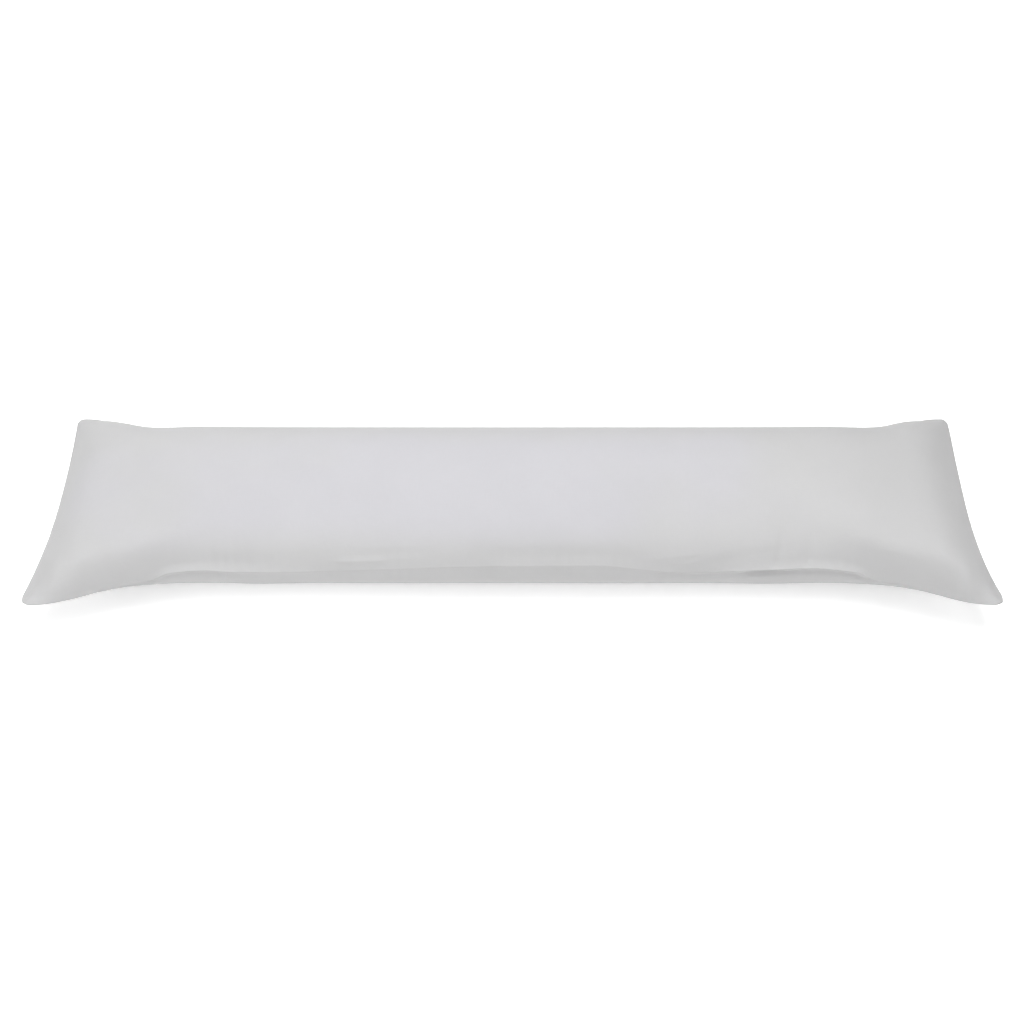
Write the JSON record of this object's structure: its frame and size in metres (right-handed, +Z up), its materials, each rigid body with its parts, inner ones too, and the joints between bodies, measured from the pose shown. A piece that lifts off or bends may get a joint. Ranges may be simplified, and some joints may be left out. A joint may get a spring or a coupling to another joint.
{
  "type": "body pillow",
  "caption": "Long soft filled pillow with a smooth plain casing, a sewn edge all round, a low rounded crown and thin pointed corners, lying flat.",
  "frame": {"origin": "on the surface the pillow lies on, under the middle of its bounding box", "axes": "+X along the pillow's length, +Y across it, +Z up"},
  "size_m": [1.4256, 0.3908, 0.191],
  "materials": {
    "casing_cloth": "smooth fine plain weave, light grey, faint sheen"
  },
  "bodies": {
    "root": {"pillow": "casing_cloth"}
  },
  "joints": []
}
